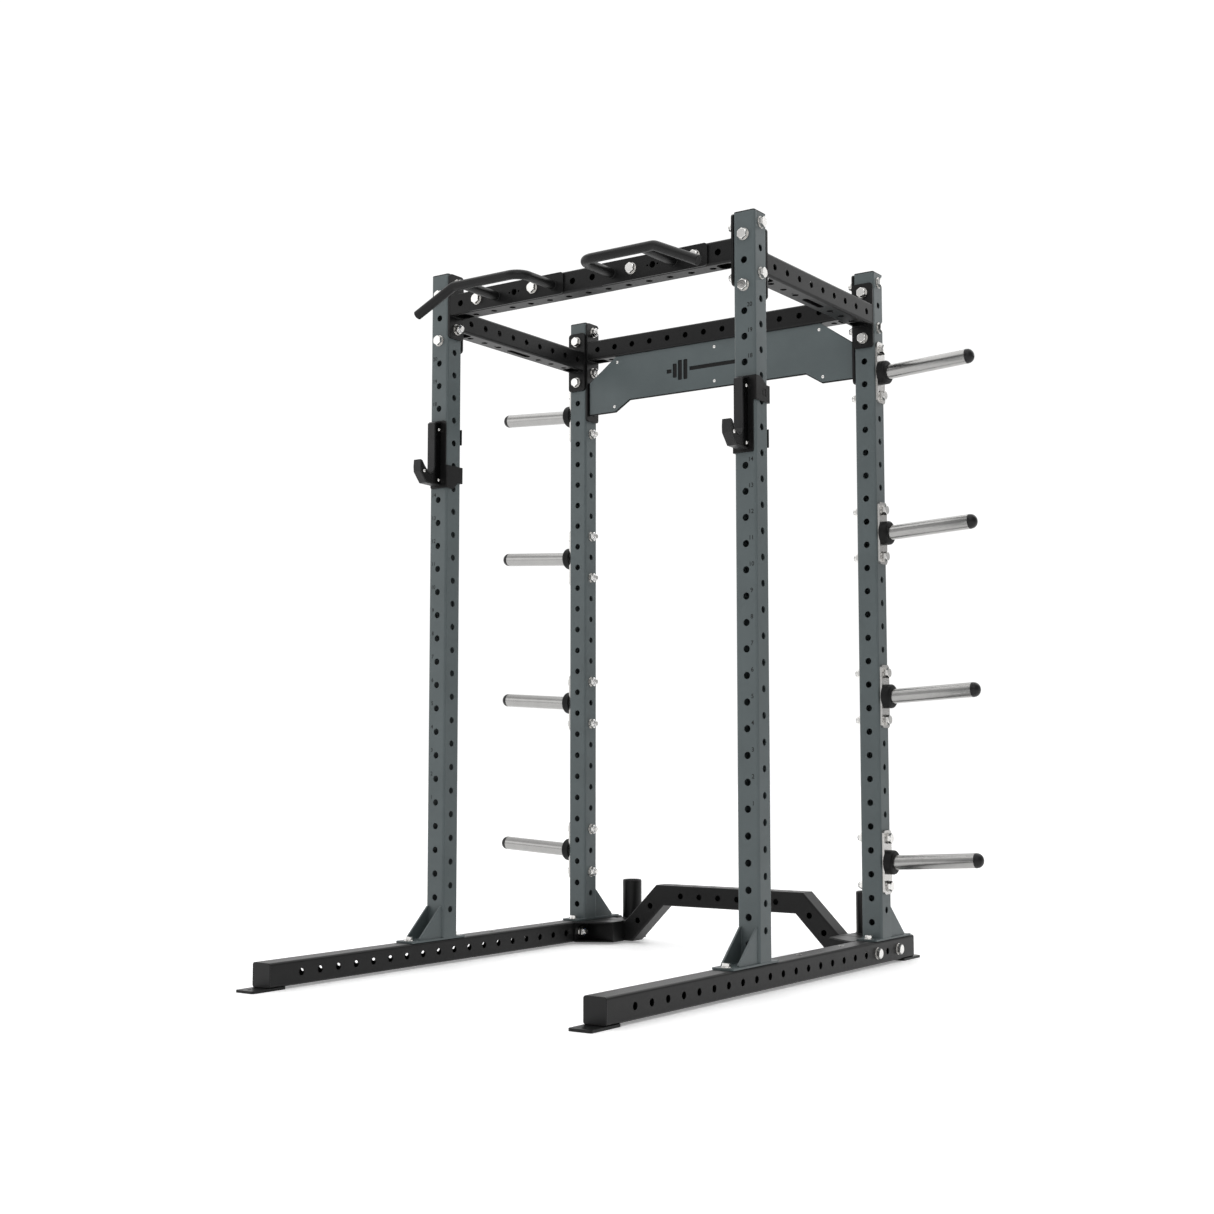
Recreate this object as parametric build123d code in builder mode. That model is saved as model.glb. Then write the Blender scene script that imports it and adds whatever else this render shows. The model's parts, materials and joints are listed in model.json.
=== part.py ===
"""Power cage: four perforated uprights on two base rails, tied by beams, with grips, pegs and bar holders.

Millimetres. +X is to the right seen from the front, +Y runs to the rear and +Z is up.
The origin is on the floor, at the middle of the whole cage's footprint.
"""
from build123d import *
import math
import os

os.makedirs("parts", exist_ok=True)

# ---------------------------------------------------------------- driving dimensions
TUBE = 75.0  # square tube, outside
WALL = 3.0
TUBE_R = 8.0  # outside corner radius of the tube
PITCH = 80.0  # hole spacing on every tube
HOLE_R = 11.0
UPRIGHT_X = 613.5  # upright centre lines, either side of the middle
FRONT_Y = -95.0  # front uprights' centre line
DEPTH = 821.0  # front to rear upright centres
PLATE = 8.0  # bolted end plates and foot plates
CAP = 4.0  # plastic end cap flange
FOOT_FRONT_Y = -990.0
FOOT_REAR_Y = 990.0
RAIL_FRONT_Y = -923.0
RAIL_REAR_Y = 938.0
RAIL_FIRST_HOLE_Y = -791.0
RAIL_HOLES = 21
BASE_PLATE = 6.0
UPRIGHT_HOLES = 28
CAGE_TOP = 2378.5
FIRST_HOLE_ABOVE_RAIL = 59.5
THROUGH = 1.0  # how far a cut runs past the face it leaves
FIT = 0.2  # play between a plug or screw and its hole

HALF = TUBE / 2
REAR_Y = FRONT_Y + DEPTH
RAIL_Z = PLATE + HALF
RAIL_TOP = PLATE + TUBE
UPRIGHT_BOTTOM = RAIL_TOP + BASE_PLATE
UPRIGHT_TOP = CAGE_TOP - CAP
FIRST_HOLE_Z = RAIL_TOP + FIRST_HOLE_ABOVE_RAIL
INNER_FACE_X = UPRIGHT_X - HALF
OUTER_FACE_X = UPRIGHT_X + HALF
CORNERS = {
    "front_left": (-UPRIGHT_X, FRONT_Y, -1),
    "front_right": (UPRIGHT_X, FRONT_Y, -1),
    "rear_left": (-UPRIGHT_X, REAR_Y, 1),
    "rear_right": (UPRIGHT_X, REAR_Y, 1),
}
SIDES = {"left": -1, "right": 1}


def height(n):
    """Height of hole number n above the floor; halves are the side-face holes."""
    return FIRST_HOLE_Z + PITCH * n


def save(piece, label):
    """Name a finished piece and write its STEP file."""
    piece.part.label = label
    export_step(piece.part, f"parts/{label}.step")


def tube_outline():
    """The hollow square tube section, drawn into the current sketch."""
    RectangleRounded(TUBE, TUBE, TUBE_R)
    RectangleRounded(TUBE - 2 * WALL, TUBE - 2 * WALL, TUBE_R - WALL, mode=Mode.SUBTRACT)


PLUG_DEPTH = 15.0
PLUG_PLAY = 1.0
PLUG_R = 4.0  # outside corner of the plug's rim
CAP_EDGE = 1.5


def plug_outline():
    """The rim under an end cap that grips the inside of the tube, drawn into the current sketch."""
    outside = TUBE - 2 * WALL - PLUG_PLAY
    inside = outside - 2 * WALL
    RectangleRounded(outside, outside, PLUG_R)
    RectangleRounded(inside, inside, PLUG_R / 2, mode=Mode.SUBTRACT)


# ---------------------------------------------------------------- uprights and their bases
def make_upright(label, x, y):
    front_holes = [(x, height(n)) for n in range(UPRIGHT_HOLES)]
    side_holes = [(y, height(n + 0.5)) for n in range(UPRIGHT_HOLES)]
    with BuildPart() as upright:
        with BuildSketch(Plane((x, y, UPRIGHT_BOTTOM))):
            tube_outline()
        extrude(amount=UPRIGHT_TOP - UPRIGHT_BOTTOM)
        with BuildSketch(Plane.XZ.offset(-y)):
            with Locations(*front_holes):
                Circle(HOLE_R)
        extrude(amount=HALF + THROUGH, both=True, mode=Mode.SUBTRACT)
        with BuildSketch(Plane.YZ.offset(x)):
            with Locations(*side_holes):
                Circle(HOLE_R)
        extrude(amount=HALF + THROUGH, both=True, mode=Mode.SUBTRACT)
    save(upright, label)


for corner, (corner_x, corner_y, _) in CORNERS.items():
    make_upright(f"upright_{corner}", corner_x, corner_y)

BASE_LONG = 190.0  # base plate reach on the gusset side of the upright's centre
BASE_SHORT = 81.0
BASE_CORNER = 5.0
GUSSET_THICK = 6.0
GUSSET_X = 28.0
GUSSET_REACH = 110.0
GUSSET_HEIGHT = 104.0
GUSSET_TIP = 6.0
BASE_BOLT_FAR = 166.0
BASE_BOLT_NEAR = 59.5
BASE_BOLT_HOLE_R = 8.75
BASE_BOLT_R = 8.0

with BuildPart() as base_brackets:
    for corner_x, corner_y, outward in CORNERS.values():
        plate_mid = corner_y + outward * (BASE_LONG - BASE_SHORT) / 2
        with BuildSketch(Plane.XY.offset(RAIL_TOP)):
            with Locations((corner_x, plate_mid)):
                RectangleRounded(TUBE, BASE_LONG + BASE_SHORT, BASE_CORNER)
            with Locations(
                (corner_x, corner_y + outward * BASE_BOLT_FAR),
                (corner_x, corner_y - outward * BASE_BOLT_NEAR),
            ):
                Circle(BASE_BOLT_HOLE_R, mode=Mode.SUBTRACT)
        extrude(amount=BASE_PLATE)
        foot = corner_y + outward * HALF
        for gusset_x in (corner_x - GUSSET_X, corner_x + GUSSET_X):
            with BuildSketch(Plane.YZ.offset(gusset_x)):
                with BuildLine():
                    Polyline(
                        (foot, UPRIGHT_BOTTOM),
                        (foot + outward * GUSSET_REACH, UPRIGHT_BOTTOM),
                        (foot + outward * GUSSET_REACH, UPRIGHT_BOTTOM + GUSSET_TIP),
                        (foot + outward * GUSSET_TIP, UPRIGHT_BOTTOM + GUSSET_HEIGHT),
                        (foot, UPRIGHT_BOTTOM + GUSSET_HEIGHT),
                        close=True,
                    )
                make_face()
            extrude(amount=GUSSET_THICK / 2, both=True)
save(base_brackets, "base_brackets")

with BuildPart() as upright_caps:
    for corner_x, corner_y, _ in CORNERS.values():
        with BuildSketch(Plane((corner_x, corner_y, UPRIGHT_TOP))):
            RectangleRounded(TUBE, TUBE, TUBE_R)
        extrude(amount=CAP)
        with BuildSketch(Plane((corner_x, corner_y, UPRIGHT_TOP))):
            plug_outline()
        extrude(amount=-PLUG_DEPTH)
    chamfer(upright_caps.edges().group_by(Axis.Z)[-1], CAP_EDGE)
save(upright_caps, "upright_caps")

# ---------------------------------------------------------------- base rails and feet
RAIL_MID_Y = (RAIL_FRONT_Y + RAIL_REAR_Y) / 2
RAIL_LENGTH = RAIL_REAR_Y - RAIL_FRONT_Y - 2 * CAP
INSERT_R = 8.0
INSERT_FLANGE = 2.0
INSERT_LIP = 1.5
INSERT_BORE_R = 5.0
INSERT_DEPTH = 18.0
INSERT_SPREAD = 142.0
INSERT_SHIFT = 5.0  # the pair sits a little behind the middle between the uprights
INSERT_MID_Y = FRONT_Y + DEPTH / 2 + INSERT_SHIFT
INSERT_Y = (INSERT_MID_Y - INSERT_SPREAD, INSERT_MID_Y + INSERT_SPREAD)


def base_bolt_points():
    """Plan positions of the bolts that hold each upright's base plate to its rail."""
    points = []
    for corner_x, corner_y, outward in CORNERS.values():
        points.append((corner_x, corner_y + outward * BASE_BOLT_FAR))
        points.append((corner_x, corner_y - outward * BASE_BOLT_NEAR))
    return points


def make_rail(label, x):
    side_holes = [(RAIL_FIRST_HOLE_Y + PITCH * k, RAIL_Z) for k in range(RAIL_HOLES)]
    bolt_points = [point for point in base_bolt_points() if point[0] == x]
    with BuildPart() as rail:
        with BuildSketch(Plane.XZ.offset(-RAIL_MID_Y)):
            with Locations((x, RAIL_Z)):
                tube_outline()
        extrude(amount=RAIL_LENGTH / 2, both=True)
        with BuildSketch(Plane.YZ.offset(x)):
            with Locations(*side_holes):
                Circle(HOLE_R)
        extrude(amount=HALF + THROUGH, both=True, mode=Mode.SUBTRACT)
        with BuildSketch(Plane.XY.offset(RAIL_TOP)):
            with Locations(*bolt_points):
                Circle(BASE_BOLT_HOLE_R)
            with Locations(*[(x, y) for y in INSERT_Y]):
                Circle(INSERT_R)
        extrude(amount=-2 * WALL, mode=Mode.SUBTRACT)
    save(rail, label)


for side, sign in SIDES.items():
    make_rail(f"base_rail_{side}", sign * UPRIGHT_X)

with BuildPart() as rail_inserts:
    for sign in SIDES.values():
        for insert_y in INSERT_Y:
            with BuildSketch(Plane((sign * UPRIGHT_X, insert_y, RAIL_TOP))):
                Circle(INSERT_R + INSERT_FLANGE)
                Circle(INSERT_BORE_R, mode=Mode.SUBTRACT)
            extrude(amount=INSERT_LIP)
            with BuildSketch(Plane((sign * UPRIGHT_X, insert_y, RAIL_TOP))):
                Circle(INSERT_R - FIT)
                Circle(INSERT_BORE_R, mode=Mode.SUBTRACT)
            extrude(amount=-INSERT_DEPTH)
save(rail_inserts, "rail_inserts")

with BuildPart() as rail_caps:
    for sign in SIDES.values():
        for end_y, outward in ((RAIL_FRONT_Y + CAP, -1), (RAIL_REAR_Y - CAP, 1)):
            cap_plane = Plane((sign * UPRIGHT_X, end_y, RAIL_Z), x_dir=(1, 0, 0), z_dir=(0, outward, 0))
            with BuildSketch(cap_plane):
                RectangleRounded(TUBE, TUBE, TUBE_R)
            extrude(amount=CAP)
            with BuildSketch(cap_plane):
                plug_outline()
            extrude(amount=-PLUG_DEPTH)
    chamfer(rail_caps.edges().group_by(Axis.Y)[0] + rail_caps.edges().group_by(Axis.Y)[-1], CAP_EDGE)
save(rail_caps, "rail_caps")

FOOT_LENGTH = 135.0
FOOT_CORNER = 6.0
ANCHOR_INSET = 22.0
ANCHOR_R = 7.0

with BuildPart() as foot_plates:
    for sign in SIDES.values():
        for end_y, inward in ((FOOT_FRONT_Y, 1), (FOOT_REAR_Y, -1)):
            with BuildSketch():
                with Locations((sign * UPRIGHT_X, end_y + inward * FOOT_LENGTH / 2)):
                    RectangleRounded(TUBE, FOOT_LENGTH, FOOT_CORNER)
                with Locations((sign * UPRIGHT_X, end_y + inward * ANCHOR_INSET)):
                    Circle(ANCHOR_R, mode=Mode.SUBTRACT)
            extrude(amount=PLATE)
save(foot_plates, "foot_plates")

# ---------------------------------------------------------------- top beams and their end plates
CROSS_N = 26.5  # hole number level of the front and rear crossbeams
SIDE_N = 26.0  # and of the side beams
PLATE_HALF_HEIGHT = 113.5
PLATE_CORNER = 12.0
BEAM_END_X = INNER_FACE_X - PLATE
CROSS_FACE_HOLES = 7
SIDE_REACH = DEPTH / 2 - HALF - PLATE
SIDE_MID_Y = FRONT_Y + DEPTH / 2
SLOT_LENGTH = 127.0
REAR_PLATE_BOTTOM = 1989.5
BOLT_STEP = PITCH  # end plate bolts sit one pitch above and below the beam
WINDOW_LENGTH = 58.0  # opening in a beam's underside beside each end plate
WINDOW_WIDTH = 50.0
WINDOW_CORNER = 14.0
WINDOW_END = 8.0  # metal left between the opening and the end plate
PIN_HOLE_R = 3.5
PIN_HOLE_STEP = 19.5  # from the middle of the hole beside it
SIDE_FACE_REACH = 4  # holes on each side of the middle one in a side beam's face
SIDE_UNDER_HOLES = (1.5, 2.5, 3.5)  # in pitches from the middle


def make_crossbeam(label, y):
    level = height(CROSS_N)
    face_holes = [(sign * PITCH * (k + 0.5), level) for k in range(CROSS_FACE_HOLES) for sign in (-1, 1)]
    under_holes = [(PITCH * k, y) for k in range(1 - CROSS_FACE_HOLES, CROSS_FACE_HOLES)]
    window_x = BEAM_END_X - WINDOW_END - WINDOW_LENGTH / 2
    with BuildPart() as beam:
        with BuildSketch(Plane.YZ):
            with Locations((y, level)):
                tube_outline()
        extrude(amount=BEAM_END_X, both=True)
        with BuildSketch(Plane.XZ.offset(-y)):
            with Locations(*face_holes):
                Circle(HOLE_R)
        extrude(amount=HALF + THROUGH, both=True, mode=Mode.SUBTRACT)
        with BuildSketch(Plane.XY.offset(level)):
            with Locations(*under_holes):
                Circle(HOLE_R)
        extrude(amount=HALF + THROUGH, both=True, mode=Mode.SUBTRACT)
        with BuildSketch(Plane.XY.offset(level)):
            with Locations((-window_x, y), (window_x, y)):
                RectangleRounded(WINDOW_LENGTH, WINDOW_WIDTH, WINDOW_CORNER)
        extrude(amount=-(HALF + THROUGH), mode=Mode.SUBTRACT)
    save(beam, label)


make_crossbeam("front_crossbeam", FRONT_Y)
make_crossbeam("rear_crossbeam", REAR_Y)


def make_side_beam(label, x):
    level = height(SIDE_N)
    face_holes = [(SIDE_MID_Y + PITCH * k, level) for k in range(-SIDE_FACE_REACH, SIDE_FACE_REACH + 1)]
    under_holes = [(x, SIDE_MID_Y + sign * PITCH * k) for k in SIDE_UNDER_HOLES for sign in (-1, 1)]
    pin_step = PITCH * SIDE_UNDER_HOLES[0] + PIN_HOLE_STEP
    window_step = SIDE_REACH - WINDOW_END - WINDOW_LENGTH / 2
    with BuildPart() as beam:
        with BuildSketch(Plane.XZ.offset(-SIDE_MID_Y)):
            with Locations((x, level)):
                tube_outline()
        extrude(amount=SIDE_REACH, both=True)
        with BuildSketch(Plane.YZ.offset(x)):
            with Locations(*face_holes):
                Circle(HOLE_R)
        extrude(amount=HALF + THROUGH, both=True, mode=Mode.SUBTRACT)
        with BuildSketch(Plane.XY.offset(level)):
            with Locations(*under_holes):
                Circle(HOLE_R)
            with Locations((x, SIDE_MID_Y)):
                SlotOverall(SLOT_LENGTH, 2 * HOLE_R, rotation=90)
        extrude(amount=HALF + THROUGH, both=True, mode=Mode.SUBTRACT)
        with BuildSketch(Plane.XY.offset(level)):
            with Locations((x, SIDE_MID_Y - pin_step), (x, SIDE_MID_Y + pin_step)):
                Circle(PIN_HOLE_R)
            with Locations((x, SIDE_MID_Y - window_step), (x, SIDE_MID_Y + window_step)):
                RectangleRounded(WINDOW_WIDTH, WINDOW_LENGTH, WINDOW_CORNER)
        extrude(amount=-(HALF + THROUGH), mode=Mode.SUBTRACT)
    save(beam, label)


for side, sign in SIDES.items():
    make_side_beam(f"side_beam_{side}", sign * UPRIGHT_X)


def make_cross_plates(label, y, bottom, hole_numbers):
    """The pair of end plates of a crossbeam, against the uprights' inner faces."""
    top = height(CROSS_N) + PLATE_HALF_HEIGHT
    with BuildPart() as plates:
        for sign in SIDES.values():
            with BuildSketch(Plane.YZ.offset(sign * (BEAM_END_X + PLATE / 2))):
                with Locations((y, (top + bottom) / 2)):
                    RectangleRounded(TUBE, top - bottom, PLATE_CORNER)
                with Locations(*[(y, height(n)) for n in hole_numbers]):
                    Circle(HOLE_R, mode=Mode.SUBTRACT)
            extrude(amount=PLATE / 2, both=True)
    save(plates, label)


make_cross_plates(
    "front_crossbeam_plates", FRONT_Y, height(CROSS_N) - PLATE_HALF_HEIGHT, (25.5, 27.5)
)
make_cross_plates("rear_crossbeam_plates", REAR_Y, REAR_PLATE_BOTTOM, (23.5, 24.5, 25.5, 27.5))

SLOT_SHIFT = 5.5  # the side plates' bolt holes are slots that run away from the beam

with BuildPart() as side_beam_plates:
    for sign in SIDES.values():
        for plate_y in (FRONT_Y + HALF + PLATE / 2, REAR_Y - HALF - PLATE / 2):
            with BuildSketch(Plane.XZ.offset(-plate_y)):
                with Locations((sign * UPRIGHT_X, height(SIDE_N))):
                    RectangleRounded(TUBE, 2 * PLATE_HALF_HEIGHT, PLATE_CORNER)
                for away in (-1, 1):
                    slot_z = height(SIDE_N) + away * (BOLT_STEP + SLOT_SHIFT)
                    with Locations((sign * UPRIGHT_X, slot_z)):
                        SlotOverall(2 * (HOLE_R + SLOT_SHIFT), 2 * HOLE_R, rotation=90, mode=Mode.SUBTRACT)
            extrude(amount=PLATE / 2, both=True)
save(side_beam_plates, "side_beam_plates")

# ---------------------------------------------------------------- pull-up grips
GRIP_R = 16.0
GRIP_BELOW = 2.0  # the bar leaves its plate a little below the middle
GRIP_Z = height(CROSS_N) - GRIP_BELOW
GRIP_OUT_Y = FRONT_Y - 216.0
GRIP_PLATE = 6.0
GRIP_FACE_Y = FRONT_Y - HALF - GRIP_PLATE
GRIP_INNER_X = 120.0
GRIP_LEG_X = 358.0
GRIP_BEND_X = 400.0
GRIP_TIP_X = 560.0
GRIP_DROP = 75.0
GRIP_BEND_R = 45.0
GRIP_TIP_EDGE = 1.5
GRIP_PLATE_X = (74.5, 484.5)
GRIP_PLATE_HEIGHT = 73.0
GRIP_BOLTS_X = (200.0, 440.0)
GRIP_SPARE_HOLE_X = 280.0


def make_grip(label, sign):
    """A bent round bar: out from its plate, across, and down at an angle to its tip."""
    with BuildPart() as grip:
        with BuildLine():
            FilletPolyline(
                (sign * GRIP_INNER_X, GRIP_FACE_Y, GRIP_Z),
                (sign * GRIP_INNER_X, GRIP_OUT_Y, GRIP_Z),
                (sign * GRIP_BEND_X, GRIP_OUT_Y, GRIP_Z),
                (sign * GRIP_TIP_X, GRIP_OUT_Y, GRIP_Z - GRIP_DROP),
                radius=GRIP_BEND_R,
            )
        with BuildSketch(Plane.XZ.offset(-GRIP_FACE_Y)):
            with Locations((sign * GRIP_INNER_X, GRIP_Z)):
                Circle(GRIP_R)
        sweep()
        with BuildSketch(Plane.XZ.offset(-GRIP_FACE_Y)):
            with Locations((sign * GRIP_LEG_X, GRIP_Z)):
                Circle(GRIP_R)
        extrude(amount=GRIP_FACE_Y - GRIP_OUT_Y)
        chamfer(grip.faces().sort_by(Axis.X)[0 if sign < 0 else -1].edges(), GRIP_TIP_EDGE)
    save(grip, label)


for side, sign in SIDES.items():
    make_grip(f"grip_{side}", sign)

with BuildPart() as grip_plates:
    inner, outer = GRIP_PLATE_X
    for sign in SIDES.values():
        with BuildSketch(Plane.XZ.offset(-GRIP_FACE_Y)):
            with Locations((sign * (inner + outer) / 2, height(CROSS_N))):
                RectangleRounded(outer - inner, GRIP_PLATE_HEIGHT, PLATE_CORNER)
            with Locations(*[(sign * x, height(CROSS_N)) for x in (*GRIP_BOLTS_X, GRIP_SPARE_HOLE_X)]):
                Circle(HOLE_R, mode=Mode.SUBTRACT)
            for shift in (-PIN_HOLE_STEP, PIN_HOLE_STEP):
                with Locations((sign * GRIP_SPARE_HOLE_X + shift, height(CROSS_N))):
                    Circle(PIN_HOLE_R, mode=Mode.SUBTRACT)
        extrude(amount=-GRIP_PLATE)
save(grip_plates, "grip_plates")

# ---------------------------------------------------------------- rear header panel
PANEL_FACE_Y = 698.6
PANEL_THICK = 3.0
BACKING_THICK = 5.0
BACKING_DROP = 4.0  # how far the backing shows below the face
PANEL_HALF = 562.5
PANEL_SHOULDER_X = 440.0
PANEL_STEP_X = 378.0
PANEL_BOTTOM = 2013.5
PANEL_STEP_Z = 2053.5
PANEL_SIDE_TOP = 2137.0
PANEL_TOP = height(CROSS_N) - HALF
PANEL_FOOT_X = 443.0
PANEL_SCREWS = ((434.0, 2203.0), (447.0, 2032.0), (0.0, 2203.0), (0.0, 2075.0))
PANEL_SCREW_R = 3.0
PANEL_SCREW_OUT = 3.0  # screw length left behind the backing
PANEL_HEAD_R = 6.0
PANEL_HEAD = 2.5
PANEL_HEAD_EDGE = 1.2
MOTIF_Z = 2136.0
MOTIF_BAR_LENGTH = 216.0
MOTIF_BAR = 15.0
MOTIF_DISCS = ((126.0, 76.0), (150.0, 76.0), (173.0, 54.0))
MOTIF_DISC = 18.0
MOTIF_CORNER = 4.0
MOTIF_TIP_X = 198.0
MOTIF_TIP = 22.0


def panel_outline(side_x, drop):
    """Half-symmetric outline of the header panel, drawn into the current line."""
    half = [
        (PANEL_SHOULDER_X, PANEL_TOP),
        (side_x, PANEL_SIDE_TOP),
        (side_x, PANEL_BOTTOM - drop),
        (PANEL_FOOT_X, PANEL_BOTTOM - drop),
        (PANEL_STEP_X, PANEL_STEP_Z - drop),
    ]
    Polyline(*half, *[(-x, z) for x, z in reversed(half)], close=True)


def panel_screw_points():
    return sorted({(sign * x, z) for x, z in PANEL_SCREWS for sign in (-1, 1)})


with BuildPart() as panel_backing:
    with BuildSketch(Plane.XZ.offset(-(PANEL_FACE_Y + PANEL_THICK))):
        with BuildLine():
            panel_outline(BEAM_END_X, BACKING_DROP)
        make_face()
        with Locations(*panel_screw_points()):
            Circle(PANEL_SCREW_R + FIT, mode=Mode.SUBTRACT)
    extrude(amount=-BACKING_THICK)
save(panel_backing, "panel_backing")

with BuildPart() as panel_face:
    with BuildSketch(Plane.XZ.offset(-(PANEL_FACE_Y + PANEL_THICK))):
        with BuildLine():
            panel_outline(PANEL_HALF, 0)
        make_face()
        with Locations(*panel_screw_points()):
            Circle(PANEL_SCREW_R + FIT, mode=Mode.SUBTRACT)
        # a cut-out barbell sign: a bar with two discs and a collar at each end
        with Locations((0, MOTIF_Z)):
            Rectangle(MOTIF_BAR_LENGTH, MOTIF_BAR, mode=Mode.SUBTRACT)
        for sign in SIDES.values():
            for disc_x, disc_height in MOTIF_DISCS:
                with Locations((sign * disc_x, MOTIF_Z)):
                    RectangleRounded(MOTIF_DISC, disc_height, MOTIF_CORNER, mode=Mode.SUBTRACT)
            with Locations((sign * MOTIF_TIP_X, MOTIF_Z)):
                Rectangle(MOTIF_TIP, MOTIF_BAR, mode=Mode.SUBTRACT)
    extrude(amount=PANEL_THICK)
save(panel_face, "panel_face")

with BuildPart() as panel_screws:
    for screw_x, screw_z in panel_screw_points():
        with BuildSketch(Plane.XZ.offset(-PANEL_FACE_Y)):
            with Locations((screw_x, screw_z)):
                Circle(PANEL_HEAD_R)
        extrude(amount=PANEL_HEAD)
        with BuildSketch(Plane.XZ.offset(-PANEL_FACE_Y)):
            with Locations((screw_x, screw_z)):
                Circle(PANEL_SCREW_R)
        extrude(amount=-(PANEL_THICK + BACKING_THICK + PANEL_SCREW_OUT))
    chamfer(panel_screws.edges().group_by(Axis.Y)[0], PANEL_HEAD_EDGE)
save(panel_screws, "panel_screws")

# ---------------------------------------------------------------- raised lower crossmember
MEMBER_Y = RAIL_FIRST_HOLE_Y + PITCH * 19  # centre of its end plates on the rails
HUMP_Y = MEMBER_Y + TUBE
HUMP_RISE = 138.8
HUMP_SLOPE = math.radians(45)
HUMP_ROUND = 6.0
HUMP_REACH = 3  # holes on each side of the middle along its top
HUMP_TOP_X = 293.0  # where the centre line levels out at the top
HUMP_FOOT_X = HUMP_TOP_X + HUMP_RISE
HUMP_END_X = 535.0
HUMP_Z = RAIL_Z + HUMP_RISE
STUB_X = 450.0
STUB_CLOSE = 3.0
COVER = 5.0
COVER_INSET = 2.0
FOOT_PLATE_CORNER = 4.0
POST_X = 495.5
POST_Y = 887.0
POST_BASE_HALF = 37.5
POST_BASE_REAR_Y = 924.5
POST_R = 36.0
POST_BORE_R = 32.0
POST_TOP = 222.0
POST_LINER_TOP = 228.0
POST_LINER_R = 27.5
POST_LINER_DEPTH = 60.0
POST_LINER_SETBACK = 0.5
POST_LINER_EDGE = 2.5
LEG_HOLE_SPACING = 40.0


def offset_path(half_width):
    """Hump outline points offset from the centre line: + is above it, - is below it."""
    slant = half_width * math.tan(HUMP_SLOPE / 2)
    return [
        (HUMP_END_X, RAIL_Z + half_width),
        (HUMP_FOOT_X + slant, RAIL_Z + half_width),
        (HUMP_TOP_X + slant, HUMP_Z + half_width),
    ]


def hump_outline(half_width):
    upper = offset_path(half_width)
    lower = offset_path(-half_width)
    right = [*reversed(upper), *lower]
    Polyline(*right, *[(-x, z) for x, z in reversed(right)], close=True)


with BuildPart() as lower_crossmember:
    with BuildSketch(Plane.XZ.offset(-HUMP_Y)):
        with BuildLine():
            hump_outline(HALF)
        make_face()
    extrude(amount=HALF, both=True)
    long_edges = lower_crossmember.faces().filter_by(Axis.Y).edges()
    fillet([edge for edge in long_edges if edge.length > TUBE + 1], HUMP_ROUND)
    with BuildSketch(Plane.XZ.offset(-HUMP_Y)):
        with BuildLine():
            hump_outline(HALF - WALL)
        make_face()
    extrude(amount=HALF - WALL, both=True, mode=Mode.SUBTRACT)
    top_holes = [(sign * PITCH * (k + 0.5), HUMP_Z) for k in range(HUMP_REACH) for sign in (-1, 1)]
    leg_holes = []
    for along in (-LEG_HOLE_SPACING, LEG_HOLE_SPACING):
        leg_x = (HUMP_TOP_X + HUMP_FOOT_X) / 2 + along * math.cos(HUMP_SLOPE)
        leg_z = (RAIL_Z + HUMP_Z) / 2 - along * math.sin(HUMP_SLOPE)
        leg_holes += [(leg_x, leg_z), (-leg_x, leg_z)]
    with BuildSketch(Plane.XZ.offset(-HUMP_Y)):
        with Locations(*top_holes, *leg_holes):
            Circle(HOLE_R)
    extrude(amount=HALF + THROUGH, both=True, mode=Mode.SUBTRACT)
    with BuildSketch(Plane.XY.offset(HUMP_Z)):
        with Locations(*[(PITCH * k, HUMP_Y) for k in range(-HUMP_REACH, HUMP_REACH + 1)]):
            Circle(HOLE_R)
    extrude(amount=HALF + THROUGH, both=True, mode=Mode.SUBTRACT)
save(lower_crossmember, "lower_crossmember")


def make_crossmember_foot(label, sign):
    """The welded end of the crossmember: end plate, stub tube, webs and the post's seat."""
    plate_x = sign * (BEAM_END_X + PLATE / 2)
    hump_front = MEMBER_Y + HALF
    hump_rear = MEMBER_Y + HALF + TUBE
    with BuildPart() as foot:
        with BuildSketch(Plane.YZ.offset(plate_x)):
            with Locations((MEMBER_Y, RAIL_Z)):
                RectangleRounded(2 * PLATE_HALF_HEIGHT, TUBE, FOOT_PLATE_CORNER)
            with Locations(*[(MEMBER_Y + PITCH * k, RAIL_Z) for k in (-1, 0, 1)]):
                Circle(HOLE_R, mode=Mode.SUBTRACT)
        extrude(amount=PLATE / 2, both=True)
        with BuildSketch(Plane.YZ.offset(sign * STUB_X)):
            with Locations((MEMBER_Y, RAIL_Z)):
                tube_outline()
        extrude(amount=sign * (BEAM_END_X - STUB_X))
        with BuildSketch(Plane.YZ.offset(sign * STUB_X)):
            with Locations((MEMBER_Y, RAIL_Z)):
                RectangleRounded(TUBE, TUBE, TUBE_R)
        extrude(amount=sign * STUB_CLOSE)
        for cover_z, up in ((RAIL_TOP, -1), (RAIL_TOP - TUBE, 1)):
            with BuildSketch(Plane.XY.offset(cover_z)):
                with BuildLine():
                    Polyline(
                        (sign * BEAM_END_X, MEMBER_Y - PLATE_HALF_HEIGHT + COVER_INSET),
                        (sign * BEAM_END_X, MEMBER_Y - HALF + TUBE_R),
                        (sign * STUB_X, MEMBER_Y - HALF + TUBE_R),
                        (sign * STUB_X, MEMBER_Y - HALF),
                        close=True,
                    )
                make_face()
                with BuildLine():
                    Polyline(
                        (sign * HUMP_END_X, hump_front - TUBE_R),
                        (sign * HUMP_END_X, hump_rear),
                        (sign * BEAM_END_X, MEMBER_Y + PLATE_HALF_HEIGHT - COVER_INSET),
                        (sign * BEAM_END_X, hump_front - TUBE_R),
                        close=True,
                    )
                make_face()
            extrude(amount=up * COVER)
        with BuildSketch(Plane.XY.offset(PLATE)):
            with Locations((sign * POST_X, (hump_rear + POST_BASE_REAR_Y) / 2)):
                Rectangle(2 * POST_BASE_HALF, POST_BASE_REAR_Y - hump_rear)
        extrude(amount=TUBE)
    save(foot, label)


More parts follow.
